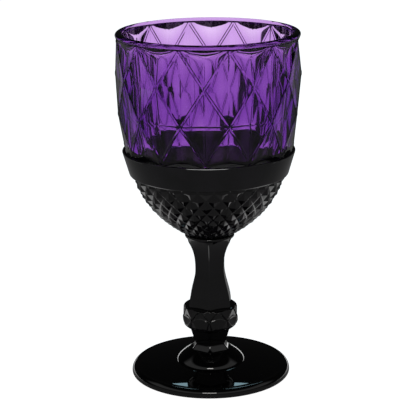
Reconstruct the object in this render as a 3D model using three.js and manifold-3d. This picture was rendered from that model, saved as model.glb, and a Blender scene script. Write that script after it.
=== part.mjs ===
// Two-tone goblet: a purple glass bowl with hollow-cut diamonds, set in a black glass holder on a
// hexagonal baluster stem and a round foot. Millimetres, +Z up, origin at the centre of the foot's
// underside. The pieces are centred on the Z axis, are located by round tenons or by the bowl's
// taper, and are held by a thin layer of clear resin.

import * as THREE from 'three';
import { mergeVertices } from 'three/addons/utils/BufferGeometryUtils.js';
import Module from 'manifold-3d';

// Fits and fineness
const bondLine = 0.3;             // resin gap round a tenon and round the bowl's taper
const tenonRadius = 4.5;
const tenonDepth = 4.5;           // length of a tenon inside its last socket
const roundSegments = 60;         // facets round a wide turned surface
const boreSegments = 36;          // facets round a tenon, a bore or the merese
const curveSteps = 6;             // facets along a curved stretch of a profile
const edgeSteps = 3;              // facets along a rounded edge

// Foot
const footRadius = 37.9;
const footEdgeRound = 1.0;        // rounded lower corner
const footEdgeHeight = 3.4;
const footEdgeInset = 1.6;        // the top edge lies this far inside the bottom one
const footCrown = 6.0;            // height of the upper face where it meets the boss
const footSwell = 0.45;           // dome of the upper face above a straight cone
const recessRadius = 30;          // shallow hollow under the foot
const recessDepth = 1.0;
const bossRadius = 16.4;          // round base of the hexagonal boss
const bossRingHeight = 1.8;       // height of that round base
const bossRingRound = 1.2;        // its rounded upper edge
const bossInset = 0.8;            // the boss's corners stand this far inside the base
const bossHeight = 6.0;           // base and hexagon, above the crown of the foot
const bossFootApothem = 13.9;
const bossTopApothem = 10.2;

// Lower spool of the stem, hexagonal
const spoolLength = 10;
const spoolFootApothem = 9.4;
const spoolWaistApothem = 6.9;
const spoolWaistHeight = 1.9;
const spoolSwell = 1.3;           // fullness of the side above the waist
const spoolTopApothem = 9.7;

// Knop, a ring with hollow diamonds round its middle
const knopHeight = 11.4;
const knopRadius = 13.2;
const knopBottomRadius = 10.4;
const knopTopRadius = 11.6;
const knopLowerBevel = 4.0;       // height of the bevel under the middle
const knopUpperBevel = 1.9;
const knopDiamonds = 9;
const knopHollow = 1.0;

// Shaft of the stem, hexagonal
const shaftLength = 33.8;
const shaftFootApothem = 9.8;
const shaftWaistApothem = 6.8;
const shaftWaistHeight = 18.8;
const shaftTopApothem = 10.8;
const shaftCornerRadius = 11.3;   // the flaring corners are turned down to this radius

// Merese, the thin disc between stem and cup
const mereseThickness = 1.8;
const mereseRadius = 11.6;

// Diamond-point cup
const cupHeight = 26.4;
const cupFootRadius = 12.5;
const cupRimRadius = 35.1;
const cupBellyRadius = 29.5;      // where the tangents of the cup's two ends meet
const cupBellyHeight = 10.1;
const cupPoints = 30;             // points round each row
const cupRows = 8;
const cupPointDepth = 1.3;
const cupFloor = 6.2;             // thickness of the cup's bottom
const cupLip = 2.5;               // wall behind the points at the cup's rim
const cupBellyWall = 5.5;         // the same between the tangents' meeting points of wall and hollow

// Plain band round the seam of bowl and cup
const bandHeight = 14.6;
const bandLedge = 1.1;            // width of the ledge outside the bowl
const bandOverhang = 2.0;         // reach of the lower edge past the cup's points
const bandTopRound = 0.7;
const bandBottomRound = 2.0;

// Bowl
const bowlRise = 55;              // from the band's top to the rim
const bowlRadius = 42.8;          // widest, on the raised lines between the diamonds
const bowlBaseRadius = 38.9;      // at the band's top
const bowlWidestHeight = 39;      // above the band's top
const bowlNeckInset = 0.5;        // the lines draw in this far from the widest place to the rim
const bowlWall = 3.2;             // below the band
const bowlFootWall = 4.3;         // at the band's top
const bowlRimWall = 3.6;          // at the rim
const bowlDiamonds = 12;
const bowlDiamondRows = 3;        // full rows between the lowest and the highest crossing
const bowlHollow = 1.8;           // depth of a diamond's centre below the crossings
const bowlFirstCrossing = 1.5;    // height of the lowest crossing above the band
const rimHeight = 2.5;            // plain bead above the highest crossing
const rimBulge = 0.4;
const rimReach = 6;               // height of the smooth surface under the bead
const rimSlope = 0.35;            // its inward slope
const coveHeight = 5;             // smooth flare above the band
const coveSlope = 0.5;            // its inward slope
const seatInset = 1.0;            // the hidden taper starts this far inside the flare
const seatFootRadius = 9;         // flat end of the hidden taper
const bowlFloor = 3.6;

// Heights of the joints, stacked from the foot upward
const bossTop = footCrown + bossHeight;
const knopBottom = bossTop + spoolLength;
const knopTop = knopBottom + knopHeight;
const shaftTop = knopTop + shaftLength;
const cupBottom = shaftTop + mereseThickness;
const bandBottom = cupBottom + cupHeight;
const bandTop = bandBottom + bandHeight;
const rimTop = bandTop + bowlRise;

// Sizes that follow from the ones above
const socketRadius = tenonRadius + bondLine;
const socketDepth = tenonDepth + bondLine;
const bandTopRadius = bowlBaseRadius + bondLine + bandLedge;
const bandBottomRadius = cupRimRadius + bandOverhang;
const seatFoot = cupBottom + cupFloor + bondLine;
const seatRimRadius = cupRimRadius - cupPointDepth - cupLip - bondLine;
const seatTopRadius = bowlBaseRadius - seatInset;
const seatBellyRadius = cupBellyRadius - cupBellyWall;

const wasm = await Module();
wasm.setup();

const point = (radius, height) => new THREE.Vector2(radius, height);

// A closed three.js geometry as a solid: shared vertices merged, collapsed triangles dropped.
function solid(geometry) {
  geometry.deleteAttribute('normal');
  geometry.deleteAttribute('uv');
  const merged = mergeVertices(geometry, 1e-4);
  const index = merged.index.array;
  const triVerts = [];
  for (let i = 0; i < index.length; i += 3) {
    const [a, b, c] = index.slice(i, i + 3);
    if (a !== b && b !== c && c !== a) triVerts.push(a, b, c);
  }
  return new wasm.Manifold(new wasm.Mesh({
    numProp: 3,
    vertProperties: new Float32Array(merged.attributes.position.array),
    triVerts: new Uint32Array(triVerts),
  }));
}

// A turned solid; the profile runs upward on its outside, from the axis to the axis or back to its start.
// With six segments the same profile gives a hexagonal loft with a corner facing -Y.
function turned(profile, segments = roundSegments) {
  return solid(new THREE.LatheGeometry(profile, segments).rotateX(Math.PI / 2));
}

function hexagonal(profile) {
  const toCorner = 1 / Math.cos(Math.PI / 6);
  return turned(profile.map((p) => point(p.x * toCorner, p.y)), 6);
}

// A plain cylinder between two heights.
function cylinder(radius, bottom, top) {
  return turned([point(0, bottom), point(radius, bottom), point(radius, top), point(0, top)], boreSegments);
}

// Points of a bend from start to end whose end tangents meet at corner.
function bend(start, corner, end, steps = curveSteps) {
  return new THREE.QuadraticBezierCurve(start, corner, end).getPoints(steps);
}

// A round body whose wall is a net of diamonds. Each level, a point (radius, height), alternates between
// crossings of the net and centres of diamonds, and the two change places from level to level.
// The rises move crossings and centres square to the profile; firstCrossing is 0 or 1, the column
// of the lowest level that holds a crossing.
function diamondBody(levels, count, crossingRise, centreRise, firstCrossing) {
  const columns = 2 * count;
  const positions = [];
  const isCrossing = (row, column) => (row + column + firstCrossing) % 2 === 0;
  levels.forEach((level, row) => {
    const below = levels[Math.max(row - 1, 0)];
    const above = levels[Math.min(row + 1, levels.length - 1)];
    const along = above.clone().sub(below).normalize();
    for (let column = 0; column < columns; column++) {
      const angle = column * Math.PI / count;
      const rise = isCrossing(row, column) ? crossingRise : centreRise;
      const radius = level.x + rise * along.y;
      positions.push(radius * Math.sin(angle), -radius * Math.cos(angle), level.y - rise * along.x);
    }
  });
  const last = levels.length - 1;
  const foot = columns * levels.length;
  const head = foot + 1;
  positions.push(0, 0, levels[0].y, 0, 0, levels[last].y);

  const index = [];
  const at = (row, column) => row * columns + column % columns;
  for (let column = 0; column < columns; column++) {
    for (let row = 0; row < last; row++) {
      const corners = [at(row, column), at(row, column + 1), at(row + 1, column + 1), at(row + 1, column)];
      const [a, b, c, d] = corners;
      if (isCrossing(row, column)) index.push(a, b, c, a, c, d);
      else index.push(a, b, d, b, c, d);
    }
    index.push(foot, at(0, column + 1), at(0, column));
    index.push(head, at(last, column), at(last, column + 1));
  }
  const geometry = new THREE.BufferGeometry();
  geometry.setAttribute('position', new THREE.Float32BufferAttribute(positions, 3));
  geometry.setIndex(index);
  return solid(geometry);
}

// Radius of the raised lines of the bowl at a height: widest a little below the rim, drawn in to the band
// by a cube law and to the rim by a parabola.
function bowlHull(height) {
  const widest = bandTop + bowlWidestHeight;
  const below = Math.max(widest - height, 0) / bowlWidestHeight;
  const above = Math.max(height - widest, 0) / (rimTop - rimHeight - widest);
  return bowlRadius - (bowlRadius - bowlBaseRadius) * below ** 3 - bowlNeckInset * above ** 2;
}

// The bowl's hidden taper, grown outward by a gap: a round bottom in the cup, then a cone through the band.
function seatTaper(gap) {
  const foot = point(seatFootRadius + gap, seatFoot - gap);
  const belly = point(seatBellyRadius + gap, cupBottom + cupBellyHeight - gap);
  const rim = point(seatRimRadius + gap, bandBottom);
  return [...bend(foot, belly, rim), point(seatTopRadius + gap, bandTop)];
}

function makeFoot() {
  const topEdge = point(footRadius - footEdgeInset, footEdgeHeight);
  const crownEdge = point(bossRadius, footCrown);
  const swellPoint = topEdge.clone().lerp(crownEdge, 0.5).add(point(0, footSwell));
  const recess = bend(point(0, recessDepth), point(recessRadius / 2, recessDepth), point(recessRadius, 0));
  const lowerCorner = bend(
    point(footRadius - footEdgeRound, 0), point(footRadius, 0), point(footRadius, footEdgeRound), edgeSteps);
  const face = bend(topEdge, swellPoint, crownEdge);
  const disc = turned([...recess, ...lowerCorner, ...face, point(0, footCrown)]);

  const ringTop = footCrown + bossRingHeight;
  const ring = turned([
    point(0, footCrown / 2), point(bossRadius, footCrown / 2), point(bossRadius, footCrown),
    ...bend(point(bossRadius, ringTop - bossRingRound), point(bossRadius, ringTop),
      point(bossRadius - bossRingRound, ringTop), edgeSteps),
    point(0, ringTop),
  ]);
  const facets = hexagonal([
    point(0, footCrown), point(bossFootApothem, footCrown), point(bossFootApothem, ringTop),
    point(bossTopApothem, bossTop), point(0, bossTop),
  ]);
  const boss = facets.intersect(cylinder(bossRadius - bossInset, footCrown, bossTop));
  const socket = cylinder(socketRadius, bossTop - socketDepth, bossTop + tenonDepth);
  return disc.add(ring).add(boss).subtract(socket);
}

function makeSpool() {
  const waist = bossTop + spoolWaistHeight;
  const flare = bend(
    point(spoolFootApothem, bossTop), point(spoolWaistApothem, bossTop),
    point(spoolWaistApothem, waist), edgeSteps);
  const swell = bend(
    point(spoolWaistApothem, waist), point(spoolWaistApothem + spoolSwell, (waist + knopBottom) / 2),
    point(spoolTopApothem, knopBottom));
  const body = hexagonal([point(0, bossTop), ...flare, ...swell.slice(1), point(0, knopBottom)]);
  const tenon = cylinder(tenonRadius, bossTop - tenonDepth, bossTop + tenonDepth / 2);
  const socket = cylinder(socketRadius, knopBottom - socketDepth, knopTop);
  return body.add(tenon).subtract(socket);
}

function makeKnop() {
  const lowerEdge = knopBottom + knopLowerBevel;
  const upperEdge = knopTop - knopUpperBevel;
  const middle = (lowerEdge + upperEdge) / 2;
  const barrel = turned([
    point(0, knopBottom),
    ...bend(point(knopBottomRadius, knopBottom), point(knopRadius, lowerEdge - knopLowerBevel / 2),
      point(knopRadius, lowerEdge), edgeSteps),
    ...bend(point(knopRadius, upperEdge), point(knopRadius, knopTop),
      point(knopTopRadius, knopTop), edgeSteps),
    point(0, knopTop),
  ]);
  const net = [middle - knopHeight / 2, middle, middle + knopHeight / 2].map((z) => point(knopRadius, z));
  const hollows = diamondBody(
    [point(knopRadius, knopBottom - knopHeight), ...net, point(knopRadius, knopTop + knopHeight)],
    knopDiamonds, 0, -knopHollow, 0);
  const bore = cylinder(socketRadius, knopBottom - knopHeight, knopTop + knopHeight);
  return barrel.intersect(hollows).subtract(bore);
}

function makeShaft() {
  const waist = knopTop + shaftWaistHeight;
  const middle = (knopTop + waist) / 2;
  const lower = new THREE.CubicBezierCurve(
    point(shaftFootApothem, knopTop), point(shaftFootApothem, middle),
    point(shaftWaistApothem, middle), point(shaftWaistApothem, waist)).getPoints(curveSteps);
  const upper = bend(
    point(shaftWaistApothem, waist), point(shaftWaistApothem, (waist + shaftTop) / 2),
    point(shaftTopApothem, shaftTop));
  const body = hexagonal([point(0, knopTop), ...lower, ...upper.slice(1), point(0, shaftTop)]);
  const limit = cylinder(shaftCornerRadius, knopTop, shaftTop);
  const tenon = cylinder(tenonRadius, knopBottom - tenonDepth, cupBottom + tenonDepth);
  return body.intersect(limit).add(tenon);
}

function makeMerese() {
  const middle = (shaftTop + cupBottom) / 2;
  const round = mereseThickness / 2;
  const lowerEdge = bend(
    point(mereseRadius - round, shaftTop), point(mereseRadius, shaftTop),
    point(mereseRadius, middle), edgeSteps);
  const upperEdge = bend(
    point(mereseRadius, middle), point(mereseRadius, cupBottom),
    point(mereseRadius - round, cupBottom), edgeSteps);
  const profile = [point(0, shaftTop), ...lowerEdge, ...upperEdge.slice(1), point(0, cupBottom)];
  const disc = turned(profile, boreSegments);
  return disc.subtract(cylinder(socketRadius, knopTop, bandBottom));
}

function makeCup() {
  const outline = new THREE.QuadraticBezierCurve(
    point(cupFootRadius, cupBottom), point(cupBellyRadius, cupBottom + cupBellyHeight),
    point(cupRimRadius, bandBottom));
  const levels = outline.getSpacedPoints(2 * cupRows + 1).filter((_, i) => i % 2 === 0);
  const top = outline.getPoint(1);
  const lastStep = top.clone().sub(levels[levels.length - 1]);
  const pointed = diamondBody([...levels, top.add(lastStep)], cupPoints, -cupPointDepth, 0, 0);
  const inside = turned([point(0, seatFoot - bondLine), ...seatTaper(bondLine), point(0, bandTop)]);
  const slab = cylinder(bandTopRadius, cupBottom, bandBottom);
  const socket = cylinder(socketRadius, knopTop, cupBottom + socketDepth);
  return pointed.intersect(slab).subtract(inside).subtract(socket);
}

function makeBand() {
  const lowerEdge = bend(
    point(bandBottomRadius - bandBottomRound, bandBottom),
    point(bandBottomRadius - bandBottomRound / 4, bandBottom),
    point(bandBottomRadius, bandBottom + bandBottomRound), edgeSteps);
  const upperEdge = bend(
    point(bandTopRadius, bandTop - bandTopRound), point(bandTopRadius, bandTop),
    point(bandTopRadius - bandTopRound, bandTop), edgeSteps);
  const start = point(seatRimRadius + bondLine, bandBottom);
  return turned([
    start, ...lowerEdge, ...upperEdge, point(bowlBaseRadius + bondLine, bandTop),
    point(seatTopRadius + bondLine, bandTop - bondLine), start,
  ]);
}

function makeBowl() {
  const neck = rimTop - rimHeight;
  const beadMiddle = rimTop - rimHeight / 2;
  const neckRadius = bowlHull(neck) - rimBulge / 2;
  const rimRadius = neckRadius + rimBulge;
  const innerRimRadius = rimRadius - bowlRimWall;
  const innerFootRadius = bowlBaseRadius - bowlFootWall;
  const crownRadius = (rimRadius + innerRimRadius) / 2;
  const pitch = (bowlRise - bowlFirstCrossing - rimHeight) / bowlDiamondRows;

  const crossings = [];
  for (let row = -1; row <= bowlDiamondRows; row++) {
    const height = bandTop + bowlFirstCrossing + row * pitch;
    crossings.push(point(bowlHull(height), height));
  }
  const aboveBand = cylinder(bowlRadius + bandHeight, bandTop, rimTop);
  const cut = diamondBody(crossings, bowlDiamonds, 0, -bowlHollow, 1).intersect(aboveBand);

  const coveTop = bandTop + coveHeight;
  const smooth = turned([
    point(0, seatFoot), ...seatTaper(0), point(bowlBaseRadius, bandTop),
    point(bowlBaseRadius - coveSlope * coveHeight, coveTop),
    point(neckRadius - rimSlope * rimReach, neck - rimReach),
    ...bend(point(neckRadius, neck), point(rimRadius, neck), point(rimRadius, beadMiddle), edgeSteps),
    ...bend(point(rimRadius, beadMiddle), point(rimRadius, rimTop),
      point(crownRadius, rimTop), edgeSteps).slice(1),
    point(0, rimTop),
  ]);

  const floor = seatFoot + bowlFloor;
  const wallTop = rimTop - rimHeight / 2;
  const inside = bend(
    point(0, floor), point(seatBellyRadius - bowlWall, floor), point(seatRimRadius - bowlWall, bandBottom));
  const innerFoot = point(innerFootRadius, bandTop);
  const innerRim = point(innerRimRadius, wallTop);
  const innerBelly = point((innerFootRadius + 2 * innerRimRadius) / 3, (bandTop + wallTop) / 2);
  inside.push(...bend(innerFoot, innerBelly, innerRim));
  inside.push(...bend(
    innerRim, point(innerRimRadius, rimTop), point(crownRadius, rimTop), edgeSteps).slice(1));
  inside.push(point(crownRadius, rimTop + rimHeight), point(0, rimTop + rimHeight));
  return smooth.add(cut).subtract(turned(inside));
}

const purpleGlass = new THREE.MeshStandardMaterial({
  name: 'purple_glass', color: 0x7a3fb0, roughness: 0.06, metalness: 0, transparent: true, opacity: 0.55,
  flatShading: true,
});
const blackGlass = new THREE.MeshStandardMaterial({
  name: 'black_glass', color: 0x0b0a0d, roughness: 0.08, metalness: 0, flatShading: true,
});

// A named mesh from a finished solid.
function piece(name, shape, material) {
  const mesh = shape.getMesh();
  const geometry = new THREE.BufferGeometry();
  geometry.setAttribute('position', new THREE.Float32BufferAttribute(mesh.vertProperties, 3));
  geometry.setIndex(new THREE.Uint32BufferAttribute(mesh.triVerts, 1));
  const result = new THREE.Mesh(geometry, material);
  result.name = name;
  return result;
}

const goblet = new THREE.Group();
goblet.name = 'goblet';
goblet.add(
  piece('foot', makeFoot(), blackGlass),
  piece('stem_spool', makeSpool(), blackGlass),
  piece('knop', makeKnop(), blackGlass),
  piece('stem_shaft', makeShaft(), blackGlass),
  piece('merese', makeMerese(), blackGlass),
  piece('diamond_cup', makeCup(), blackGlass),
  piece('collar_band', makeBand(), blackGlass),
  piece('bowl', makeBowl(), purpleGlass),
);

export default goblet;
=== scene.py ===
"""Looks of a two-tone goblet: purple glass bowl cut in hollow diamonds, black glass holder and stem.

Every piece is a surface round the Z axis, worked out as whole arrays of radius and height on a grid of
profile rows by angle columns. Lengths written in millimetres are multiplied by MM.
"""

import math

import bpy
import numpy as np
from mathutils import Matrix, Vector


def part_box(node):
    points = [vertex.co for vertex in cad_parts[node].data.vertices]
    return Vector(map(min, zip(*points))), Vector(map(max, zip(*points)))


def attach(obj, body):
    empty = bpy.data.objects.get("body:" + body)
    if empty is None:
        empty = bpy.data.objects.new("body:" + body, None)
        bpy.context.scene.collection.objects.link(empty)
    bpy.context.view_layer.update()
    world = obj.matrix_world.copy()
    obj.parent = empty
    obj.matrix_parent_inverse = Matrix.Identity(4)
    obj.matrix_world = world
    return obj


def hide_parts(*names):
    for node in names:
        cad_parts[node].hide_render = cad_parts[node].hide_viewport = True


MM = 0.001
TURN = 2 * math.pi

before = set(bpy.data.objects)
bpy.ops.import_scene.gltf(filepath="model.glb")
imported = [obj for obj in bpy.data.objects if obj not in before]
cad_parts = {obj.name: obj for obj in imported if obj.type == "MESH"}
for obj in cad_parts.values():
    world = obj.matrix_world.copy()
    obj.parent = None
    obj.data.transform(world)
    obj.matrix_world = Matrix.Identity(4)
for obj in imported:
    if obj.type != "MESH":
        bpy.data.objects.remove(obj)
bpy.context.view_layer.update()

# Heights of the joints, from the frame
FOOT_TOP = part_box("foot")[1].z
KNOP_BOTTOM, KNOP_TOP = (corner.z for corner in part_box("knop"))
MERESE_BOTTOM, CUP_BOTTOM = (corner.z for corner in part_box("merese"))
BAND_SOLID_BOTTOM, BAND_TOP = (corner.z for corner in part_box("collar_band"))
SEAT_FOOT, RIM_TOP = (corner.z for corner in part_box("bowl"))

# Radii from the frame
FOOT_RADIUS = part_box("foot")[1].x
MERESE_PROUD = 0.1 * MM           # the drawn disc stands this far outside the solid one
MERESE_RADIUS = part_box("merese")[1].x + MERESE_PROUD
BAND_TOP_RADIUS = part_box("collar_band")[1].x
BOWL_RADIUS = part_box("bowl")[1].x

# Used by several pieces
CAP_RADIUS = 1 * MM               # radius of the fan that closes an end at the axis
SAME_POINT = 1e-7                 # points nearer than this are one point
SIDES = 6                         # of the stem

# Bowl
BOWL_BASE_RADIUS = 38.9 * MM
BOWL_WIDEST = 39 * MM             # height of the widest place above the band
BOWL_NECK_INSET = 0.5 * MM        # the lines draw in this far from the widest place to the rim
BOWL_WALL = 3.2 * MM              # below the seam of cup and band
BOWL_FOOT_WALL = 4.3 * MM         # at the band's top
BOWL_RIM_WALL = 3.6 * MM
BOWL_FLOOR = 3.6 * MM
BOWL_DIAMONDS = 12
BOWL_ROWS = 3
BOWL_HOLLOW = 1.8 * MM
FIRST_CROSSING = 1.5 * MM         # above the band
RIM_HEIGHT = 2.5 * MM
RIM_BULGE = 0.4 * MM
BEAD_HALF_HEIGHT = 1.4 * MM
BEAD_TURN = (-50, 180)            # degrees round the bead, from its outer foot to its inner side
BOTTOM_MIDDLE = 0.6 * MM          # radius where the round bottom ends at the axis
TOP_HOLLOW = 2.2 * MM             # at the cut-off row under the rim
RIM_SLOPE = 0.48                  # inward slope of the smooth surface under the bead
COVE_SLOPE = 0.5                  # inward slope of the smooth surface above the band
LINE_CUT = 0.08 * MM              # the lines between the diamonds are planed flat by this much
LINE_RAISE = 0.18 * MM            # and stand this proud with steep sides
LINE_CELLS = 1                    # half their width, in cells of the grid
UPRIGHT_HEIGHT = 0.12 * MM        # fine raised line up the middle of each diamond
LEVEL_HEIGHT = 0.12 * MM          # fine level line through the crossings
NET_BLEND = 0.5 * MM              # rounding where the net meets the smooth surfaces above and below it
SEAT_FOOT_RADIUS = 9 * MM
SEAT_BELLY = (25.5 * MM, 11 * MM)  # radius, and height above the cup's foot
SEAT_RIM_RADIUS = 31.9 * MM
SEAT_TOP_RADIUS = 37.9 * MM
BOND_OVERLAP = 0.35 * MM          # the clear resin is drawn as part of the bowl's taper

# Diamond-point cup
SEAM_RISE = 3.0 * MM              # the points run up this far over the foot of the solid band
SEAM = BAND_SOLID_BOTTOM + SEAM_RISE
CUP_FOOT_RADIUS = 11.2 * MM
CUP_RIM_RADIUS = 36.0 * MM
CUP_BELLY = (31 * MM, 11 * MM)
CUP_POINTS = 30
CUP_ROWS = 9.5                    # half points along the outline
CUP_GROOVE = 0.07                 # rounded share of the way from a groove to a tip
CUP_POINT_DEPTH = 1.3 * MM
BOND_LINE = 0.3 * MM

# Band
BAND_BOTTOM_RADIUS = 37.4 * MM
BAND_TOP_ROUND = 0.7 * MM
BAND_BOTTOM_ROUND = 1.0 * MM
LEDGE_UNDERLAP = 0.05 * MM        # the ledge reaches this far under the bowl's foot

# Stem
SHAFT_FOOT = 9.8 * MM             # distances from the axis to a face of the hexagon
SHAFT_WAIST = 6.65 * MM
SHAFT_TOP = 10.5 * MM
SHAFT_WAIST_HEIGHT = 18.8 * MM
SHAFT_FLARE = 2.5                 # power law of the widening above the waist
SHAFT_CORNER_RADIUS = 11.3 * MM
SHAFT_CORNER_BLEND = 0.3 * MM
CORNER_LINE = 0.2 * MM            # fine raised line along each corner of the shaft
SPOOL_FOOT = 8.5 * MM
SPOOL_FLARE = (7.5 * MM, 1.2 * MM)  # where its tangents meet: face distance, and height above the foot
SPOOL_WAIST = 6.9 * MM
SPOOL_WAIST_HEIGHT = 2.6 * MM
SPOOL_SWELL = 1.3 * MM
SPOOL_TOP = 9.2 * MM
SPOOL_SHARPNESS = 20
CORNER_SHARPNESS = 60             # power of the mean that rounds the hexagon's corners

# Knop
KNOP_RADIUS = 13.2 * MM
KNOP_BOTTOM_RADIUS = 9.7 * MM
KNOP_TOP_RADIUS = 11.6 * MM
KNOP_LOWER_BEVEL = 4.0 * MM
KNOP_UPPER_BEVEL = 1.9 * MM
KNOP_DIAMONDS = 9
KNOP_HOLLOW = 1.0 * MM
KNOP_BLEND = 0.08 * MM
PETAL_CROSSING = 6.1 * MM         # height of the crossings above the knop's foot
PETAL_RISE = 1.8 * MM             # from there to the top of a petal's arch
PETAL_GAP = 1.6 * MM              # half the gap between two petals at the knop's foot
PETAL_EDGE = 0.4 * MM             # width of a petal's sloping edge
PETAL_STEP = 0.35 * MM
PETAL_SUNK = 0.4                  # share of the step that is cut in; the rest stands proud
PETAL_GROOVE = 0.3 * MM
PETAL_GROOVE_SLOPE = 0.8          # sideways for each millimetre up

# Foot
FOOT_EDGE_ROUND = 1.0 * MM
FOOT_EDGE_HEIGHT = 3.9 * MM
FOOT_EDGE_INSET = 1.6 * MM
FOOT_FACE_ROUND = 1.2 * MM        # length of the bend from the edge to the top face
FOOT_FACE_TANGENT = (-0.4 * MM, 0.25 * MM)
FOOT_CROWN = 6.0 * MM
FOOT_SWELL = 0.45 * MM            # how much the foot's top is domed
RECESS_RADIUS = 30 * MM
RECESS_DEPTH = 1.0 * MM
BOSS_RADIUS = 16.4 * MM
BOSS_SHOULDER = (15.4 * MM, 3.6 * MM)  # where its tangents meet: radius, and depth below its top
BOSS_TOP = 9.6 * MM

# Fineness of the grids
CELL_STEPS = 24                   # columns in half a bowl diamond, and rows in half a diamond
POINT_STEPS = 8                   # the same for a diamond point
SMOOTH_COLUMNS = 240
KNOP_STEPS = 24                   # columns in half a knop diamond
KNOP_SIDE_ROWS = 33
SHAFT_ROWS = 26                   # below the waist, and above it
MERESE_ROWS = 16
COVE_ROWS = 5
BEAD_ROWS = 44

# Materials
GLASS_IOR = 1.5
MATT_ROUGHNESS = 0.9
RAMP_SPAN = (0.35, 0.65)          # noise values between which a ramp runs
PURPLE_DEPTH = (0.5175, 0.1425, 0.705)  # colour that the glass lets through
PURPLE_DENSITY = 400
SKIN_WAVE = 0.0003                # metres, height of the waves of the glass's skin

# Light
PANELS = 8                        # panels of painted light on the floor round the goblet, seen only through glass
PANEL_FADE = (-0.3, -0.15)        # cosine across a panel where it starts and is full
PANEL_GAP = 0.02                  # light between the panels
PANEL_TURN = math.radians(4)
PANEL_END = (10, 16)              # metres from the goblet
PANEL_LIGHT = 1.3
FLOOR_HALF = 20                   # metres
FLOOR_GLOW = 0.96
FLOOR_MIRRORED = 0.18
SPOT_LIGHT = 1.2                  # painted pool of light on the floor at either side of the foot, seen only in reflections
SPOT_PLACE = (0.085, 0.03)        # metres aside and behind
SPOT_FADE = (0.02, 0.05)          # metres from its middle where it starts to fall and ends
FLOOR_GLARE = 2.0                 # sheen of the floor behind, seen almost along it
GLARE_FACING = (0.88, 0.93)       # 1 less the sine of the angle to the floor: sheen starts, and is full
GLARE_START = (0.05, 0.1)         # metres behind the axis where it starts and is full
GLARE_END = (0.5, 0.8)            # and where it ends
ROOM_FADE = (0.18, 0.34)          # sine of the height angle
ROOM_DARK = 0.012
ROOM_LOW_SIDE = (-0.2, 0.3)       # share of a direction to the front where the low light starts and is full
ROOM_FRONT = 0.42                 # light of the room's upper front
ROOM_FRONT_RISE = (0.34, 0.45)    # sines of the height angle where it starts and is full
ROOM_FRONT_TOP = (0.7, 0.8)       # and where it ends
ROOM_FRONT_SIDE = (-0.4, -0.1)    # share of a direction to the front where it starts and is full

# Softboxes: place, target and size in metres, power in watts, colour
BACK_SOFTBOX = ((0, 0.84, 1.0), (0, 0, 0.08), (0.4, 0.6), 2.4, (0.55, 0.87, 1.0))
FRONT_SOFTBOX = ((0, -0.9, 0.75), (0, 0, 0.08), (0.35, 0.12), 2.0, (1.0, 0.98, 0.95))
EDGE_SOFTBOX = ((0, -0.8, 0.8), (0, 0, 0.11), (0.9, 0.6), 17, (1, 1, 1))

# Camera, from the photograph's perspective; the picture is square
PICTURE = 416
FOCAL_PIXELS = 1548.5
CAMERA_DISTANCE = 0.702
CAMERA_HEIGHT = 0.277
CAMERA_PITCH = math.radians(15.6)
CAMERA_ROLL = math.radians(-0.55)
CAMERA_TURN = math.radians(2.5)
AXIS_PIXEL = 209.4                # column of the goblet's axis at mid height
SENSOR = 36.0


def bezier(start, corner, end, steps):
    """Points of a bend: the quadratic curve from start to end whose end tangents meet at corner."""
    t = np.linspace(0, 1, steps + 1)[:, None]
    start, corner, end = np.array(start), np.array(corner), np.array(end)
    return start * (1 - t) ** 2 + 2 * corner * t * (1 - t) + end * t ** 2


def joined(*stretches):
    """One profile from several stretches of (radius, height) points, each point kept once."""
    points = np.vstack([np.atleast_2d(s) for s in stretches])
    steps = np.linalg.norm(np.diff(points, axis=0), axis=1)
    return points[np.concatenate([[True], steps > SAME_POINT])]


def smooth_max(a, b, width):
    """The larger of a and b, with the crease between them rounded over about width."""
    return (a + b + np.sqrt((a - b) ** 2 + width ** 2)) / 2


def smooth_min(a, b, width):
    """The smaller of a and b, rounded in the same way."""
    return -smooth_max(-a, -b, width)


def triangle_wave(x):
    """0 at whole numbers, 1 half way between them, straight in between."""
    return 1 - np.abs(2 * (x - np.floor(x)) - 1)


def angles(columns):
    """Column angles in radians; angle 0 faces -Y and a quarter turn faces +X."""
    return np.arange(columns) * TURN / columns


def hexagon(theta, sharpness):
    """Radius of a hexagon with apothem 1 and softly rounded corners, one of which lies at angle 0.

    It is a high power mean of the six face distances, so the corners round off more as the power falls.
    """
    faces = (np.arange(SIDES) + 0.5) * TURN / SIDES
    reach = np.maximum(np.cos(np.asarray(theta)[..., None] - faces), 0)
    return (reach ** sharpness).sum(-1) ** (-1 / sharpness)


def diamond_net(theta, height, count, levels, radii, hollow, first):
    """Radii of the two planes that meet along the lines of a net of flat-faced hollow diamonds.

    Half a diamond is one column step wide and one level high. On every level crossings of the net, at the
    level's radius, alternate with diamond centres, sunk by hollow. Between two levels each step holds two
    triangles that share a line of the net; the surface is the smaller of the two planes' radii.
    """
    step = TURN / (2 * count)
    row = np.clip(np.searchsorted(levels, height, side="right") - 1, 0, len(levels) - 2)
    column = np.floor(theta / step)
    across = theta / step - column
    mirrored = (row + column + first) % 2 == 1
    across = np.where(mirrored, 1 - across, across)

    near = np.array([1.0, 0.0])
    far = np.array([math.cos(step), math.sin(step)])

    def corner(radius, side, z):
        """Corners of the triangles on one side of a step, one for each level."""
        return np.column_stack([radius[:, None] * side, z])

    a = corner(radii[:-1], near, levels[:-1])
    b = corner(radii[:-1] - hollow[:-1], far, levels[:-1])
    c = corner(radii[1:], far, levels[1:])
    d = corner(radii[1:] - hollow[1:], near, levels[1:])

    def plane_radius(normal):
        """Radius at which each place lies on its level's plane with the given normal through corner a."""
        offset = (normal * a).sum(1)
        along = normal[row, 0] * np.cos(across * step) + normal[row, 1] * np.sin(across * step)
        return (offset[row] - normal[row, 2] * height) / along

    lower = plane_radius(np.cross(b - a, c - a))
    upper = plane_radius(np.cross(c - a, d - a))
    return lower, upper


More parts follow.
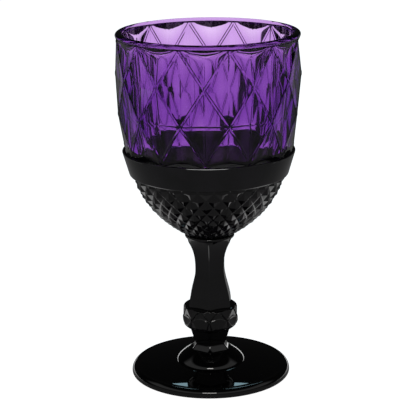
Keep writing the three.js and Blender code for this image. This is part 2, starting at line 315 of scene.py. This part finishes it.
def surface_mesh(name, radius, height, ring=False, split=None):
    """A closed mesh round the Z axis from arrays of radius and height, profile rows by angle columns.

    The profile runs upward on the outside. Its ends lie on the axis, or join each other when ring is set.
    Each cell is two triangles; split is True where the cell's diagonal runs from its lower right corner.
    """
    rows, columns = radius.shape
    theta = angles(columns)
    x = radius * np.sin(theta)
    y = -radius * np.cos(theta)
    vertices = np.stack([x, y, height], -1).reshape(-1, 3)
    index = np.arange(rows * columns).reshape(rows, columns)
    lower = index if ring else index[:-1]
    upper = np.roll(index, -1, axis=0) if ring else index[1:]
    a, d = lower, upper
    b, c = np.roll(lower, -1, axis=1), np.roll(upper, -1, axis=1)
    if split is None:
        split = np.zeros(a.shape, bool)
    first = np.where(split[..., None], np.stack([a, b, d], -1), np.stack([a, b, c], -1))
    second = np.where(split[..., None], np.stack([b, c, d], -1), np.stack([a, c, d], -1))
    triangles = np.concatenate([first.reshape(-1, 3), second.reshape(-1, 3)])
    if not ring:
        foot, head = len(vertices), len(vertices) + 1
        ends = np.array([[0, 0, height[0].mean()], [0, 0, height[-1].mean()]])
        vertices = np.vstack([vertices, ends])
        low, high = index[0], index[-1]
        foot_fan = np.stack([np.full(columns, foot), np.roll(low, -1), low], -1)
        head_fan = np.stack([np.full(columns, head), high, np.roll(high, -1)], -1)
        triangles = np.vstack([triangles, foot_fan, head_fan])

    mesh = bpy.data.meshes.new(name)
    mesh.vertices.add(len(vertices))
    mesh.vertices.foreach_set("co", vertices.astype(np.float32).ravel())
    mesh.loops.add(triangles.size)
    mesh.loops.foreach_set("vertex_index", triangles.astype(np.int32).ravel())
    mesh.polygons.add(len(triangles))
    mesh.polygons.foreach_set("loop_start", np.arange(0, triangles.size, 3, dtype=np.int32))
    mesh.polygons.foreach_set("use_smooth", np.ones(len(triangles), bool))
    mesh.update(calc_edges=True)
    mesh.validate()
    return mesh


def add_piece(mesh, node, material, crease):
    """Puts a finished mesh in the place of its CAD node; edges above crease, in degrees, stay sharp."""
    mesh.set_sharp_from_angle(angle=math.radians(crease))
    piece = bpy.data.objects.new(mesh.name, mesh)
    bpy.context.scene.collection.objects.link(piece)
    piece.data.materials.append(material)
    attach(piece, "root")
    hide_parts(node)
    return piece


def turned(profile, columns=SMOOTH_COLUMNS):
    """Radius and height grids of a plain turned surface."""
    radius = np.repeat(profile[:, :1], columns, axis=1)
    height = np.repeat(profile[:, 1:], columns, axis=1)
    return radius, height


def seat_profile(gap):
    """The bowl's hidden taper, grown by gap: a round bottom in the cup, then a cone through the band."""
    bottom = bezier(
        (SEAT_FOOT_RADIUS + gap, SEAT_FOOT - gap),
        (SEAT_BELLY[0] + gap, CUP_BOTTOM + SEAT_BELLY[1] - gap),
        (SEAT_RIM_RADIUS + gap, SEAM), steps=10)
    return joined(bottom, (SEAT_TOP_RADIUS + gap, BAND_TOP - gap))


def bowl_hull(height):
    """Radius of the bowl's net lines: a cube law below the widest place, a parabola above it."""
    height = np.asarray(height)
    widest = BAND_TOP + BOWL_WIDEST
    below = np.maximum(widest - height, 0) / BOWL_WIDEST
    above = np.maximum(height - widest, 0) / (RIM_TOP - RIM_HEIGHT - widest)
    return BOWL_RADIUS - (BOWL_RADIUS - BOWL_BASE_RADIUS) * below ** 3 - BOWL_NECK_INSET * above ** 2


def cells_from_line(columns, rows, first):
    """How many cells of the bowl's grid each place lies from the nearest line of the net.

    The lines run along the cells' diagonals, so on a grid of rows by columns they lie where the sum or the
    difference of the two counts is a whole number of diamonds.
    """
    across = np.arange(columns) / CELL_STEPS
    up = (rows - first) / (rows[-1] - first) * BOWL_ROWS
    sum_half = (across[None, :] + up[:, None]) / 2
    difference_half = (across[None, :] - up[:, None]) / 2
    return CELL_STEPS * np.minimum(triangle_wave(sum_half), triangle_wave(difference_half))


def make_bowl(material):
    """Purple bowl. Outside it is the larger of three surfaces: the net of hollow diamonds, the smooth band
    that tapers in below the rim bead, and the cove that flares out to the black band.

    Each line of the net is a narrow flat ridge, and finer lines run up the diamonds and level through the
    crossings. The bead is an ellipse. The inside is a bend from the rim to the band's top, then a round
    bottom.
    """
    columns = 2 * BOWL_DIAMONDS * CELL_STEPS
    theta = angles(columns)
    neck = RIM_TOP - RIM_HEIGHT
    first = BAND_TOP + FIRST_CROSSING
    pitch = (neck - first) / BOWL_ROWS
    levels = first + pitch * np.arange(-1, BOWL_ROWS + 2)

    cove_rows = np.linspace(BAND_TOP, first, COVE_ROWS)[:-1]
    net_rows = np.linspace(first, neck, BOWL_ROWS * CELL_STEPS + 1)
    rows = np.concatenate([cove_rows, net_rows])
    height = np.repeat(rows[:, None], columns, axis=1)
    hollow = np.where(levels > neck - pitch / 2, TOP_HOLLOW, BOWL_HOLLOW)
    neck_radius = bowl_hull(neck) - RIM_BULGE / 2
    rim_radius = neck_radius + RIM_BULGE
    inner_rim = rim_radius - BOWL_RIM_WALL
    inner_foot = BOWL_BASE_RADIUS - BOWL_FOOT_WALL
    wall_top = RIM_TOP - RIM_HEIGHT / 2
    lower, upper = diamond_net(
        np.broadcast_to(theta, height.shape), height, BOWL_DIAMONDS, levels,
        bowl_hull(levels), hollow, first=1)
    line = cells_from_line(columns, rows, first)
    radius = np.minimum(lower, upper) - LINE_CUT * np.maximum(1 - line / LINE_CELLS, 0)
    radius = radius + LINE_RAISE * np.clip(LINE_CELLS + 1 - line, 0, 1)
    columns_off = np.abs((np.arange(columns) + CELL_STEPS / 2) % CELL_STEPS - CELL_STEPS / 2)
    radius = radius + UPRIGHT_HEIGHT * np.maximum(1 - columns_off, 0)
    level_rows = len(cove_rows) + CELL_STEPS * np.arange(1, BOWL_ROWS)
    radius[level_rows] += np.where(line[level_rows] > LINE_CELLS, LEVEL_HEIGHT, 0)
    rim_band = neck_radius - RIM_SLOPE * (neck - height)
    cove = BOWL_BASE_RADIUS - COVE_SLOPE * (height - BAND_TOP)
    radius = smooth_max(smooth_max(radius, rim_band, NET_BLEND), cove, NET_BLEND)

    bead_turn = np.linspace(*BEAD_TURN, BEAD_ROWS)[:, None] * math.pi / 180
    bead_half = BOWL_RIM_WALL / 2
    bead = np.hstack([
        rim_radius - bead_half + bead_half * np.cos(bead_turn),
        RIM_TOP - BEAD_HALF_HEIGHT + BEAD_HALF_HEIGHT * np.sin(bead_turn)])
    wall = bezier(
        (inner_rim, wall_top), ((inner_foot + 2 * inner_rim) / 3, (BAND_TOP + wall_top) / 2),
        (inner_foot, BAND_TOP), steps=14)
    floor = SEAT_FOOT + BOWL_FLOOR
    bottom = bezier(
        (SEAT_RIM_RADIUS - BOWL_WALL, SEAM), (SEAT_BELLY[0] - BOWL_WALL, floor),
        (BOTTOM_MIDDLE, floor), steps=18)
    over_rim = joined(bead, wall, bottom)
    taper = seat_profile(BOND_OVERLAP)

    taper_radius, taper_height = turned(taper, columns)
    inner_radius, inner_height = turned(over_rim, columns)
    all_radius = np.vstack([taper_radius, radius, inner_radius])
    all_height = np.vstack([taper_height, height, inner_height])

    cell_row = np.arange(len(all_radius) - 1)[:, None] - len(taper) - len(cove_rows)
    level = cell_row // CELL_STEPS + 1
    column = (np.arange(columns) // CELL_STEPS)[None, :]
    split = (level + column + 1) % 2 == 1
    mesh = surface_mesh("bowl_glass", all_radius, all_height, split=split)
    return add_piece(mesh, "bowl", material, crease=12)


def make_cup(material, seat_material):
    """Black cup. Its outline is a bend; along it and round it runs a net of small four-sided points.

    A place lies below the outline, square to it, by the point depth times its share of the way from the
    point's tip to the groove. The depth shrinks with the outline's radius.
    """
    columns = 2 * CUP_POINTS * POINT_STEPS
    fine = bezier(
        (CUP_FOOT_RADIUS, CUP_BOTTOM), (CUP_BELLY[0], CUP_BOTTOM + CUP_BELLY[1]),
        (CUP_RIM_RADIUS, SEAM), steps=400)
    length = np.concatenate([[0], np.cumsum(np.linalg.norm(np.diff(fine, axis=0), axis=1))])
    level = np.linspace(0, CUP_ROWS, int(CUP_ROWS * POINT_STEPS) + 1)
    at = level / CUP_ROWS * length[-1]
    outline = np.column_stack([np.interp(at, length, fine[:, 0]), np.interp(at, length, fine[:, 1])])
    along = np.gradient(outline, axis=0)
    along /= np.linalg.norm(along, axis=1)[:, None]
    step = np.arange(columns) / POINT_STEPS
    sum_half = (step[None, :] + level[:, None]) / 2
    difference_half = (step[None, :] - level[:, None]) / 2
    tip = np.minimum(triangle_wave(sum_half), triangle_wave(difference_half))
    tip = smooth_max(tip, CUP_GROOVE, CUP_GROOVE / 2)
    sunk = CUP_POINT_DEPTH * outline[:, :1] / CUP_RIM_RADIUS * (1 - tip)
    radius = outline[:, :1] - sunk * along[:, 1:]
    height = outline[:, 1:] + sunk * along[:, :1]
    height = np.maximum(height, CUP_BOTTOM)

    seat = seat_profile(BOND_LINE)
    seat = seat[seat[:, 1] < SEAM + SAME_POINT][::-1]
    seat_radius, seat_height = turned(seat, columns)
    foot_radius, foot_height = turned(np.array([[CUP_FOOT_RADIUS / 2, CUP_BOTTOM]]), columns)
    all_radius = np.vstack([foot_radius, radius, seat_radius])
    all_height = np.vstack([foot_height, height, seat_height])
    cell_level = (np.arange(len(all_radius) - 1)[:, None] - 1) // POINT_STEPS
    split = (cell_level + (np.arange(columns) // POINT_STEPS)[None, :]) % 2 == 1
    mesh = surface_mesh("diamond_point_cup", all_radius, all_height, split=split)
    return add_bonded(mesh, "diamond_cup", material, seat_material, crease=25)


def add_bonded(mesh, node, material, seat_material, crease):
    """A black piece whose inner faces, those that look toward the axis, are ground matt."""
    piece = add_piece(mesh, node, material, crease)
    mesh.materials.append(seat_material)
    centres = np.empty(len(mesh.polygons) * 3)
    normals = np.empty(len(mesh.polygons) * 3)
    mesh.polygons.foreach_get("center", centres)
    mesh.polygons.foreach_get("normal", normals)
    centres, normals = centres.reshape(-1, 3), normals.reshape(-1, 3)
    inward = (centres[:, :2] * normals[:, :2]).sum(1) < 0
    mesh.polygons.foreach_set("material_index", inward.astype(np.int32))
    return piece


def make_band(material, seat_material):
    """Black band: a ring whose straight outside leans out from a rounded foot to a rounded top edge."""
    inner = BOWL_BASE_RADIUS - LEDGE_UNDERLAP
    seat_foot = (SEAT_RIM_RADIUS + BOND_LINE, SEAM)
    lower = bezier(
        (BAND_BOTTOM_RADIUS - BAND_BOTTOM_ROUND, SEAM),
        (BAND_BOTTOM_RADIUS - BAND_BOTTOM_ROUND / 4, SEAM),
        (BAND_BOTTOM_RADIUS, SEAM + BAND_BOTTOM_ROUND), steps=12)
    upper = bezier(
        (BAND_TOP_RADIUS, BAND_TOP - BAND_TOP_ROUND), (BAND_TOP_RADIUS, BAND_TOP),
        (BAND_TOP_RADIUS - BAND_TOP_ROUND, BAND_TOP), steps=8)
    seat_top = (SEAT_TOP_RADIUS + BOND_LINE, BAND_TOP - BOND_LINE)
    profile = joined(seat_foot, lower, upper, (inner, BAND_TOP), seat_top)
    mesh = surface_mesh("plain_band", *turned(profile), ring=True)
    return add_bonded(mesh, "collar_band", material, seat_material, crease=35)


def make_merese(material):
    """Thin disc with a half-round edge."""
    middle = (MERESE_BOTTOM + CUP_BOTTOM) / 2
    half = (CUP_BOTTOM - MERESE_BOTTOM) / 2
    turn = np.linspace(-90, 90, MERESE_ROWS) * math.pi / 180
    edge = np.column_stack([MERESE_RADIUS - half + half * np.cos(turn), middle + half * np.sin(turn)])
    profile = joined((CAP_RADIUS, MERESE_BOTTOM), edge, (CAP_RADIUS, CUP_BOTTOM))
    mesh = surface_mesh("merese_disc", *turned(profile))
    return add_piece(mesh, "merese", material, crease=35)


def hexagonal(apothem, height, limit=None, sharpness=CORNER_SHARPNESS):
    """Radius and height grids of a hexagonal loft with the given face distances, corners held to limit."""
    theta = angles(SMOOTH_COLUMNS)
    radius = apothem[:, None] * hexagon(theta, sharpness)[None, :]
    if limit is not None:
        radius = smooth_min(radius, limit, SHAFT_CORNER_BLEND)
    return radius, np.repeat(height[:, None], SMOOTH_COLUMNS, axis=1)


def make_shaft(material):
    """Hexagonal baluster: an S-curve from the foot to the waist, then a power law out to the merese.

    A fine line runs along each corner.
    """
    waist = KNOP_TOP + SHAFT_WAIST_HEIGHT
    low = np.linspace(KNOP_TOP, waist, SHAFT_ROWS)
    share = (low - KNOP_TOP) / SHAFT_WAIST_HEIGHT
    swell = SHAFT_FOOT + (SHAFT_WAIST - SHAFT_FOOT) * share ** 2 * (3 - 2 * share)
    high = np.linspace(waist, MERESE_BOTTOM, SHAFT_ROWS)[1:]
    rise = (high - waist) / (MERESE_BOTTOM - waist)
    flare = SHAFT_WAIST + (SHAFT_TOP - SHAFT_WAIST) * rise ** SHAFT_FLARE
    height = np.concatenate([[KNOP_TOP], low, high, [MERESE_BOTTOM]])
    apothem = np.concatenate([[CAP_RADIUS], swell, flare, [CAP_RADIUS]])
    radius, height = hexagonal(apothem, height, SHAFT_CORNER_RADIUS)
    radius[2:-2, ::SMOOTH_COLUMNS // SIDES] += CORNER_LINE
    mesh = surface_mesh("stem_baluster", radius, height)
    return add_piece(mesh, "stem_shaft", material, crease=35)


def make_spool(material):
    """Short hexagonal spool: a small flared foot, a waist just above it, and a swell up to the knop."""
    waist = FOOT_TOP + SPOOL_WAIST_HEIGHT
    flare = bezier(
        (SPOOL_FOOT, FOOT_TOP), (SPOOL_FLARE[0], FOOT_TOP + SPOOL_FLARE[1]), (SPOOL_WAIST, waist), steps=10)
    swell = bezier(
        (SPOOL_WAIST, waist), (SPOOL_WAIST + SPOOL_SWELL, (waist + KNOP_BOTTOM) / 2),
        (SPOOL_TOP, KNOP_BOTTOM), steps=16)
    profile = joined((CAP_RADIUS, FOOT_TOP), flare, swell, (CAP_RADIUS, KNOP_BOTTOM))
    radius, height = hexagonal(profile[:, 0], profile[:, 1], sharpness=SPOOL_SHARPNESS)
    mesh = surface_mesh("stem_spool_hexagon", radius, height)
    return add_piece(mesh, "stem_spool", material, crease=35)


def make_knop(material):
    """Ring with a rounded upper and a long lower bevel, cut all round by a row of hollow diamonds.

    The lower half keeps a row of petals, one to a diamond. A petal's upper edge is an arch, a sine of the
    angle that starts at one crossing of the net and ends at the next. Its sides draw in below the
    crossings. All that lies outside the petals is cut back, the petals stand a little proud, and a groove
    runs up each way from the crossings.
    """
    columns = 2 * KNOP_DIAMONDS * KNOP_STEPS
    theta = angles(columns)[None, :]
    lower_edge = KNOP_BOTTOM + KNOP_LOWER_BEVEL
    upper_edge = KNOP_TOP - KNOP_UPPER_BEVEL
    lower = bezier(
        (KNOP_BOTTOM_RADIUS, KNOP_BOTTOM), (KNOP_RADIUS, lower_edge - KNOP_LOWER_BEVEL / 2),
        (KNOP_RADIUS, lower_edge), steps=24)
    side = np.linspace(lower_edge, upper_edge, KNOP_SIDE_ROWS)
    middle = np.column_stack([np.full(KNOP_SIDE_ROWS, KNOP_RADIUS), side])
    upper = bezier(
        (KNOP_RADIUS, upper_edge), (KNOP_RADIUS, KNOP_TOP), (KNOP_TOP_RADIUS, KNOP_TOP), steps=14)
    radius, height = turned(joined(lower, middle, upper), columns)
    half = (KNOP_TOP - KNOP_BOTTOM) / 2
    levels = (lower_edge + upper_edge) / 2 + half * np.arange(-2, 3)
    lower_face, upper_face = diamond_net(
        np.broadcast_to(theta, height.shape), height, KNOP_DIAMONDS, levels,
        np.full(len(levels), KNOP_RADIUS), np.full(len(levels), KNOP_HOLLOW), first=0)
    radius = smooth_min(radius, np.minimum(lower_face, upper_face), KNOP_BLEND)

    crossing = KNOP_BOTTOM + PETAL_CROSSING
    arch = crossing + PETAL_RISE * np.abs(np.sin(KNOP_DIAMONDS * theta / 2))
    turns = KNOP_DIAMONDS * theta / TURN
    aside = KNOP_RADIUS * np.abs(turns - np.round(turns)) * TURN / KNOP_DIAMONDS
    inside = aside - PETAL_GAP * (crossing - height) / PETAL_CROSSING
    petal = np.clip((arch - height) / PETAL_EDGE, 0, 1) * np.clip(inside / PETAL_EDGE, 0, 1)
    groove = np.abs(aside - PETAL_GROOVE_SLOPE * (height - crossing))
    groove = np.where(height > crossing, np.maximum(1 - groove / PETAL_EDGE, 0), 0)
    radius = radius + PETAL_STEP * (petal - PETAL_SUNK) - PETAL_GROOVE * groove
    ends = np.array([[CAP_RADIUS, KNOP_BOTTOM], [CAP_RADIUS, KNOP_TOP]])
    ends_radius, ends_height = turned(ends, columns)
    radius = np.vstack([ends_radius[:1], radius, ends_radius[1:]])
    height = np.vstack([ends_height[:1], height, ends_height[1:]])
    mesh = surface_mesh("knop_ring", radius, height)
    return add_piece(mesh, "knop", material, crease=30)


def make_foot(material):
    """Round foot: a shallow hollow under it, an edge that rounds inward, a domed face and a round boss."""
    recess = bezier(
        (CAP_RADIUS, RECESS_DEPTH), (RECESS_RADIUS / 2, RECESS_DEPTH), (RECESS_RADIUS, 0), steps=12)
    corner = bezier(
        (FOOT_RADIUS - FOOT_EDGE_ROUND, 0), (FOOT_RADIUS, 0), (FOOT_RADIUS, FOOT_EDGE_ROUND), steps=8)
    edge_top = np.array([FOOT_RADIUS - FOOT_EDGE_INSET, FOOT_EDGE_HEIGHT])
    crown = np.array([BOSS_RADIUS, FOOT_CROWN])
    face_start = edge_top + (crown - edge_top) * FOOT_FACE_ROUND / np.linalg.norm(crown - edge_top)
    wall = bezier(corner[-1], (FOOT_RADIUS, edge_top[1] - FOOT_EDGE_ROUND), edge_top, steps=12)
    shoulder = bezier(edge_top, edge_top + np.array(FOOT_FACE_TANGENT), face_start, steps=6)
    face = bezier(face_start, (edge_top + crown) / 2 + np.array([0, FOOT_SWELL]), crown, steps=16)
    boss = bezier(
        crown, (BOSS_SHOULDER[0], FOOT_TOP - BOSS_SHOULDER[1]), (BOSS_TOP, FOOT_TOP), steps=24)
    base = joined(recess, corner, wall, shoulder, face)
    profile = np.vstack([base, boss, [[CAP_RADIUS, FOOT_TOP]]])
    mesh = surface_mesh("round_foot", *turned(profile))
    return add_piece(mesh, "foot", material, crease=35)


def new_material(name):
    """A node material and its shader, output and Object coordinates."""
    material = bpy.data.materials.new(name)
    material.use_nodes = True
    nodes = material.node_tree.nodes
    shader = nodes["Principled BSDF"]
    output = nodes["Material Output"]
    place = nodes.new("ShaderNodeTexCoord").outputs["Object"]
    return material, shader, output, place


def noise(tree, place, scale, detail=2.0, rough=0.5):
    """Value of a noise with about scale blobs per metre."""
    node = tree.nodes.new("ShaderNodeTexNoise")
    node.inputs["Scale"].default_value = scale
    node.inputs["Detail"].default_value = detail
    node.inputs["Roughness"].default_value = rough
    tree.links.new(place, node.inputs["Vector"])
    return node.outputs["Fac"]


def ramp(tree, value, low, high):
    """Colour or grey that runs from low to high as value goes through RAMP_SPAN."""
    node = tree.nodes.new("ShaderNodeValToRGB")
    for element, position, colour in zip(node.color_ramp.elements, RAMP_SPAN, (low, high)):
        element.position = position
        element.color = (*colour, 1)
    tree.links.new(value, node.inputs["Fac"])
    return node.outputs["Color"]


def bump(tree, value, strength):
    """Normal of a skin whose waves follow value."""
    node = tree.nodes.new("ShaderNodeBump")
    node.inputs["Strength"].default_value = strength
    node.inputs["Distance"].default_value = SKIN_WAVE
    tree.links.new(value, node.inputs["Height"])
    return node.outputs["Normal"]


def purple_glass():
    """Clear purple pressed glass: tinted through its depth, with faint streaks and a slightly wavy skin."""
    material, shader, output, place = new_material("purple_glass")
    tree = material.node_tree
    tint = ramp(tree, noise(tree, place, scale=60), low=(0.95, 0.92, 0.97), high=(1.0, 0.98, 1.0))
    tree.links.new(tint, shader.inputs["Base Color"])
    haze = ramp(tree, noise(tree, place, scale=140, detail=4), low=(0, 0, 0), high=(0.02, 0.02, 0.02))
    tree.links.new(haze, shader.inputs["Roughness"])
    waves = noise(tree, place, scale=70, detail=1)
    tree.links.new(bump(tree, waves, strength=0.05), shader.inputs["Normal"])
    shader.inputs["Transmission Weight"].default_value = 1.0
    shader.inputs["IOR"].default_value = GLASS_IOR
    depth = tree.nodes.new("ShaderNodeVolumeAbsorption")
    depth.inputs["Color"].default_value = (*PURPLE_DEPTH, 1)
    depth.inputs["Density"].default_value = PURPLE_DENSITY
    tree.links.new(depth.outputs["Volume"], output.inputs["Volume"])
    return material


def black_glass():
    """Opaque black glass, fire-polished: faint smears in its gloss and a slightly wavy skin."""
    material, shader, _, place = new_material("black_glass")
    tree = material.node_tree
    stain = noise(tree, place, scale=90, detail=3)
    body = ramp(tree, stain, low=(0.0006, 0.0006, 0.0008), high=(0.0016, 0.0014, 0.002))
    tree.links.new(body, shader.inputs["Base Color"])
    smear = noise(tree, place, scale=160, detail=4, rough=0.6)
    gloss = ramp(tree, smear, low=(0.01, 0.01, 0.01), high=(0.04, 0.04, 0.04))
    tree.links.new(gloss, shader.inputs["Roughness"])
    waves = noise(tree, place, scale=140, detail=1)
    tree.links.new(bump(tree, waves, strength=0.04), shader.inputs["Normal"])
    shader.inputs["IOR"].default_value = GLASS_IOR
    return material


def matt_seat():
    """Ground seat behind the resin, a matt dark grey seen only through the bowl."""
    material, shader, _, place = new_material("matt_seat")
    tree = material.node_tree
    grain = noise(tree, place, scale=300, detail=4)
    body = ramp(tree, grain, low=(0.22, 0.22, 0.22), high=(0.3, 0.3, 0.3))
    tree.links.new(body, shader.inputs["Base Color"])
    shader.inputs["Roughness"].default_value = MATT_ROUGHNESS
    shader.inputs["Specular IOR Level"].default_value = 0.0
    return material


def math_node(tree, operation, *values):
    """Result of a math node; each value is a number or another node's output."""
    node = tree.nodes.new("ShaderNodeMath")
    node.operation = operation
    for socket, value in zip(node.inputs, values):
        if isinstance(value, (int, float)):
            socket.default_value = value
        else:
            tree.links.new(value, socket)
    return node.outputs[0]


def distance(tree, x, y):
    """Length of the vector (x, y)."""
    squares = math_node(tree, "MULTIPLY_ADD", x, x, math_node(tree, "MULTIPLY", y, y))
    return math_node(tree, "SQRT", squares)


def fade(tree, value, start, end, low, high):
    """Runs smoothly from low, at start, to high, at end."""
    node = tree.nodes.new("ShaderNodeMapRange")
    node.interpolation_type = "SMOOTHSTEP"
    tree.links.new(value, node.inputs["Value"])
    for name, number in (("From Min", start), ("From Max", end), ("To Min", low), ("To Max", high)):
        node.inputs[name].default_value = number
    return node.outputs["Result"]


def mixed(tree, share, first, second):
    """Shader that is first where share is 0 and second where it is 1."""
    node = tree.nodes.new("ShaderNodeMixShader")
    tree.links.new(share, node.inputs[0])
    tree.links.new(first, node.inputs[1])
    tree.links.new(second, node.inputs[2])
    return node.outputs[0]


def glow(tree, strength):
    """White light of the given strength, a number or another node's output."""
    node = tree.nodes.new("ShaderNodeEmission")
    if isinstance(strength, (int, float)):
        node.inputs["Strength"].default_value = strength
    else:
        tree.links.new(strength, node.inputs["Strength"])
    return node.outputs[0]


def floor_material():
    """Pale floor that keeps soft shadows.

    Seen through glass it is panels of painted light round the goblet with dark gaps between them. Seen in
    polished black it glows a dim grey, with a painted pool of light at either side of the foot and a
    painted sheen behind it for rays that run almost along the floor.
    """
    material, shader, output, place = new_material("pale_floor")
    tree = material.node_tree
    links = tree.links
    grain = noise(tree, place, scale=30, detail=3)
    pale = ramp(tree, grain, low=(0.86, 0.86, 0.86), high=(0.9, 0.9, 0.9))
    links.new(pale, shader.inputs["Base Color"])
    shader.inputs["Roughness"].default_value = MATT_ROUGHNESS
    path = tree.nodes.new("ShaderNodeLightPath").outputs

    split = tree.nodes.new("ShaderNodeSeparateXYZ")
    links.new(place, split.inputs[0])
    x, y = split.outputs["X"], split.outputs["Y"]
    # Painted light that only rays through glass see: glowing panels round the goblet with dim gaps, fading
    # out far away.
    around = math_node(tree, "SUBTRACT", math_node(tree, "ARCTAN2", y, x), PANEL_TURN)
    wave = math_node(tree, "COSINE", math_node(tree, "MULTIPLY", around, PANELS))
    panel = fade(tree, wave, *PANEL_FADE, PANEL_GAP, 1.0)
    reach = fade(tree, distance(tree, x, y), *PANEL_END, 1.0, 0.0)
    white = math_node(tree, "MULTIPLY", panel, reach)
    through = glow(tree, math_node(tree, "MULTIPLY", white, PANEL_LIGHT))

    lit = tree.nodes.new("ShaderNodeAddShader")
    links.new(shader.outputs[0], lit.inputs[0])
    links.new(glow(tree, FLOOR_GLOW), lit.inputs[1])
    # Painted light that only reflections see: a pool of light at either side of the foot and a sheen behind
    # it, on top of the floor's dim glow.
    spot_x = math_node(tree, "SUBTRACT", math_node(tree, "ABSOLUTE", x), SPOT_PLACE[0])
    spot_y = math_node(tree, "SUBTRACT", y, SPOT_PLACE[1])
    spot = fade(tree, distance(tree, spot_x, spot_y), *SPOT_FADE, SPOT_LIGHT, 0.0)
    facing = tree.nodes.new("ShaderNodeLayerWeight").outputs["Facing"]
    near = fade(tree, y, *GLARE_START, 0.0, 1.0)
    far = fade(tree, y, *GLARE_END, 1.0, 0.0)
    sheen = fade(tree, facing, *GLARE_FACING, 0.0, FLOOR_GLARE)
    glare = math_node(tree, "MULTIPLY", sheen, math_node(tree, "MULTIPLY", near, far))
    dim = math_node(tree, "ADD", math_node(tree, "ADD", spot, glare), FLOOR_MIRRORED)
    surface = mixed(tree, path["Is Glossy Ray"], lit.outputs[0], glow(tree, dim))
    surface = mixed(tree, path["Is Transmission Ray"], surface, through)
    links.new(surface, output.inputs["Surface"])
    return material


def add_floor():
    """The floor, a wide square under the foot."""
    half = FLOOR_HALF
    corners = [(-half, -half, 0), (half, -half, 0), (half, half, 0), (-half, half, 0)]
    mesh = bpy.data.meshes.new("floor")
    mesh.from_pydata(corners, [], [(0, 1, 2, 3)])
    floor = bpy.data.objects.new("floor", mesh)
    bpy.context.scene.collection.objects.link(floor)
    mesh.materials.append(floor_material())
    return floor


def receivers(name, pieces):
    """A set of pieces that a lamp lights."""
    collection = bpy.data.collections.new(name)
    for piece in pieces:
        collection.objects.link(piece)
    return collection


def add_lamp(name, softbox, lit):
    """A rectangular softbox at its place, facing its target, that lights only the pieces in lit."""
    place, target, size, power, colour = softbox
    lamp = bpy.data.lights.new(name, "AREA")
    lamp.shape = "RECTANGLE"
    lamp.size, lamp.size_y = size
    lamp.energy = power
    lamp.color = colour
    holder = bpy.data.objects.new(name, lamp)
    bpy.context.scene.collection.objects.link(holder)
    holder.location = place
    holder.rotation_euler = (Vector(target) - Vector(place)).to_track_quat("-Z", "Y").to_euler()
    holder.light_linking.receiver_collection = lit
    holder.visible_transmission = False


def add_lights(floor, band, black_pieces):
    """Softboxes in a dim room: one behind and one in front that light the floor and the black pieces, and a
    larger one in front that only the band's polished edge shows.
    """
    lit = receivers("lit_pieces", [floor, band, *black_pieces])
    add_lamp("back_softbox", BACK_SOFTBOX, lit)
    add_lamp("front_softbox", FRONT_SOFTBOX, lit)
    add_lamp("edge_softbox", EDGE_SOFTBOX, receivers("lit_edge", [band]))
    add_world()


def add_world():
    """Room: white to the camera, near black through glass. In reflections its front is a dim grey low down,
    with a paler belt above that, and the rest is near black.
    """
    world = bpy.data.worlds.new("dim_room")
    bpy.context.scene.world = world
    world.use_nodes = True
    tree = world.node_tree
    path = tree.nodes.new("ShaderNodeLightPath").outputs
    split = tree.nodes.new("ShaderNodeSeparateXYZ")
    tree.links.new(tree.nodes.new("ShaderNodeTexCoord").outputs["Generated"], split.inputs[0])
    rise = math_node(tree, "ABSOLUTE", split.outputs["Z"])
    low = fade(tree, rise, *ROOM_FADE, FLOOR_MIRRORED, 0.0)
    forward = math_node(tree, "MULTIPLY", split.outputs["Y"], -1)
    front = fade(tree, forward, *ROOM_LOW_SIDE, 0.0, 1.0)
    facing = fade(tree, forward, *ROOM_FRONT_SIDE, 0.0, ROOM_FRONT)
    start = fade(tree, rise, *ROOM_FRONT_RISE, 0.0, 1.0)
    end = fade(tree, rise, *ROOM_FRONT_TOP, 1.0, 0.0)
    upper = math_node(tree, "MULTIPLY", math_node(tree, "MULTIPLY", start, end), facing)
    mirrored = math_node(tree, "MULTIPLY_ADD", low, front, upper)
    reflected = math_node(tree, "SUBTRACT", path["Is Glossy Ray"], path["Is Transmission Ray"])
    strength = math_node(tree, "MULTIPLY_ADD", reflected, mirrored, path["Is Camera Ray"])
    back = tree.nodes["Background"]
    back.inputs["Color"].default_value = (1, 1, 1, 1)
    tree.links.new(math_node(tree, "ADD", strength, ROOM_DARK), back.inputs["Strength"])


def add_camera():
    """Camera at the photograph's height, distance and tilt, turned so that the goblet sits as there."""
    data = bpy.data.cameras.new("camera")
    data.sensor_width = SENSOR
    data.lens = FOCAL_PIXELS * SENSOR / PICTURE
    camera = bpy.data.objects.new("camera", data)
    bpy.context.scene.collection.objects.link(camera)
    place = Vector((
        CAMERA_DISTANCE * math.sin(CAMERA_TURN), -CAMERA_DISTANCE * math.cos(CAMERA_TURN), CAMERA_HEIGHT))
    aside = math.atan((AXIS_PIXEL - PICTURE / 2) / FOCAL_PIXELS)
    heading = Matrix.Rotation(CAMERA_TURN + aside, 4, "Z")
    tilt = Matrix.Rotation(math.pi / 2 - CAMERA_PITCH, 4, "X")
    roll = Matrix.Rotation(CAMERA_ROLL, 4, "Z")
    camera.matrix_world = Matrix.Translation(place) @ heading @ tilt @ roll
    bpy.context.scene.camera = camera


add_camera()
black = black_glass()
seat = matt_seat()
make_bowl(purple_glass())
band = make_band(black, seat)
black_pieces = [make_cup(black, seat)]
for make_piece in (make_merese, make_shaft, make_knop, make_spool, make_foot):
    black_pieces.append(make_piece(black))
add_lights(add_floor(), band, black_pieces)
bpy.context.scene.view_settings.view_transform = "Standard"
